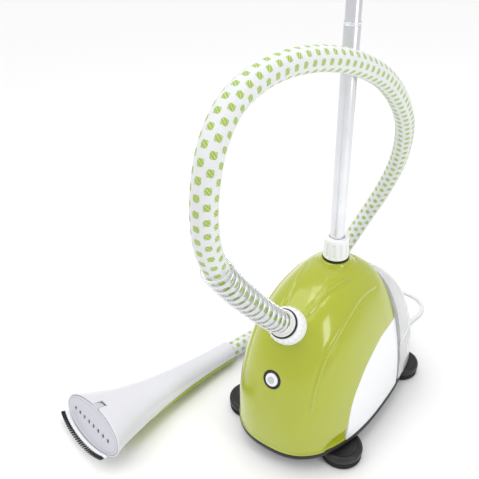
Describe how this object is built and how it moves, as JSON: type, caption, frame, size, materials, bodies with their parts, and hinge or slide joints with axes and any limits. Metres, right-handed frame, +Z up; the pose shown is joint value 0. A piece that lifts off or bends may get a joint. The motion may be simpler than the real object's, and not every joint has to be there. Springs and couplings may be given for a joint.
{
  "type": "garment steamer",
  "caption": "Standing garment steamer: egg-shaped boiler body on pod feet, rear water tank, telescopic pole with folding hanger, woven steam hose and a flared handset with a brush.",
  "frame": {"origin": "on the floor, at the centre of the bounding box of everything but the hose and the mains lead", "axes": "+Z up; the button and hose outlet face -Y; +X is the side away from the floor-laid handset"},
  "size_m": [0.5377, 0.6915, 0.726],
  "materials": {
    "green_gloss": "glossy lime green moulding",
    "white_gloss": "satin-gloss white moulding",
    "white_matte": "plain white plastic",
    "grey_plastic": "light grey moulding",
    "black_plastic": "black moulding with a fine grain",
    "black_rubber": "soft black rubber",
    "clear_plastic": "clear, slightly cloudy",
    "aluminium_tube": "drawn and satin anodised",
    "cast_aluminium": "as cast",
    "steel": "bright drawn wire",
    "brass": "plain",
    "woven_hose": "white braid with green dots over a hose"
  },
  "bodies": {
    "base": {"front_shell": "green_gloss", "handset_lower_shell": "green_gloss", "side_panel_right": "white_gloss", "side_panel_left": "white_gloss", "outlet_flange": "white_gloss", "handset_upper_shell": "white_gloss", "plug_body": "white_gloss", "rear_wall": "white_matte", "terminal_block": "white_matte", "mains_lead": "white_matte", "mains_coil": "white_matte", "steam_plate": "grey_plastic", "hose_cuff": "grey_plastic", "base_plate": "black_plastic", "foot_cap_front_right": "black_plastic", "foot_cap_front_left": "black_plastic", "foot_cap_rear_right": "black_plastic", "foot_cap_rear_left": "black_plastic", "pole_socket": "black_plastic", "button_bezel": "black_plastic", "switch_body": "black_plastic", "outlet_spigot": "black_plastic", "nut_ring": "black_plastic", "tank_seat": "black_plastic", "thermostat": "black_plastic", "lead_strain_relief": "black_plastic", "coil_tie": "black_plastic", "foot_pad_front_right": "black_rubber", "foot_pad_front_left": "black_rubber", "foot_pad_rear_right": "black_rubber", "foot_pad_rear_left": "black_rubber", "neck_gasket": "black_rubber", "steam_pipe": "black_rubber", "water_feed_pipe": "clear_plastic", "pole_lower_tube": "aluminium_tube", "pole_ferrule_lower": "aluminium_tube", "boiler_body": "cast_aluminium", "boiler_lid": "cast_aluminium", "hose_spring": "steel", "heating_element": "steel", "plug_pin_a": "steel", "plug_pin_b": "steel", "thermal_fuse": "brass", "steam_hose": "woven_hose"},
    "pole_collar": {"pole_collar": "white_gloss"},
    "pole_middle": {"pole_middle_tube": "aluminium_tube", "pole_ferrule_middle": "aluminium_tube"},
    "pole_upper": {"pole_upper_tube": "aluminium_tube", "pole_head": "white_gloss", "handset_hook": "white_gloss"},
    "hanger_right": {"hanger_arm_right": "white_gloss"},
    "hanger_left": {"hanger_arm_left": "white_gloss"},
    "power_button": {"power_button": "white_gloss"},
    "hose_nut": {"hose_nut": "white_gloss"},
    "tank": {"tank_body": "clear_plastic", "tank_seal": "black_rubber"},
    "tank_cap": {"tank_cap": "white_gloss"},
    "tank_valve": {"tank_valve": "black_plastic"},
    "brush": {"brush_frame": "white_gloss", "brush_bristles": "black_plastic"}
  },
  "joints": [
    {"name": "power_button_press", "type": "slide", "parent": "base", "child": "power_button", "axis": [0, 0.9483, -0.3173], "range_m": [0, 0.0025], "stiffness_N_per_m": 300},
    {"name": "hose_nut_turn", "type": "hinge", "parent": "base", "child": "hose_nut", "pos_m": [0.0588, -0.0593, 0.241], "axis": [0, -0.7071, 0.7071], "range_deg": [0, 90]},
    {"name": "pole_collar_turn", "type": "hinge", "parent": "base", "child": "pole_collar", "pos_m": [0.0588, 0.0877, 0.29], "axis": [0, 0, 1], "range_deg": [0, 90]},
    {"name": "pole_middle_slide", "type": "slide", "parent": "base", "child": "pole_middle", "axis": [0, 0, 1], "range_m": [0, 0.33]},
    {"name": "pole_upper_slide", "type": "slide", "parent": "pole_middle", "child": "pole_upper", "axis": [0, 0, 1], "range_m": [0, 0.33]},
    {"name": "hanger_right_fold", "type": "hinge", "parent": "pole_upper", "child": "hanger_right", "pos_m": [0.0798, 0.0877, 0.706], "axis": [0, -1, 0], "range_deg": [0, 75]},
    {"name": "hanger_left_fold", "type": "hinge", "parent": "pole_upper", "child": "hanger_left", "pos_m": [0.0378, 0.0877, 0.706], "axis": [0, 1, 0], "range_deg": [0, 75]},
    {"name": "tank_lift", "type": "slide", "parent": "base", "child": "tank", "axis": [0, 0, 1], "range_m": [0, 0.24]},
    {"name": "tank_cap_turn", "type": "hinge", "parent": "tank", "child": "tank_cap", "pos_m": [0.0588, 0.1857, 0.033], "axis": [0, 0, 1], "range_deg": [0, 90]},
    {"name": "tank_valve_lift", "type": "slide", "parent": "tank_cap", "child": "tank_valve", "axis": [0, 0, 1], "range_m": [0, 0.003], "stiffness_N_per_m": 80},
    {"name": "brush_pull_off", "type": "slide", "parent": "base", "child": "brush", "axis": [-0.2543, -0.8557, 0.4506], "range_m": [0, 0.06]}
  ]
}
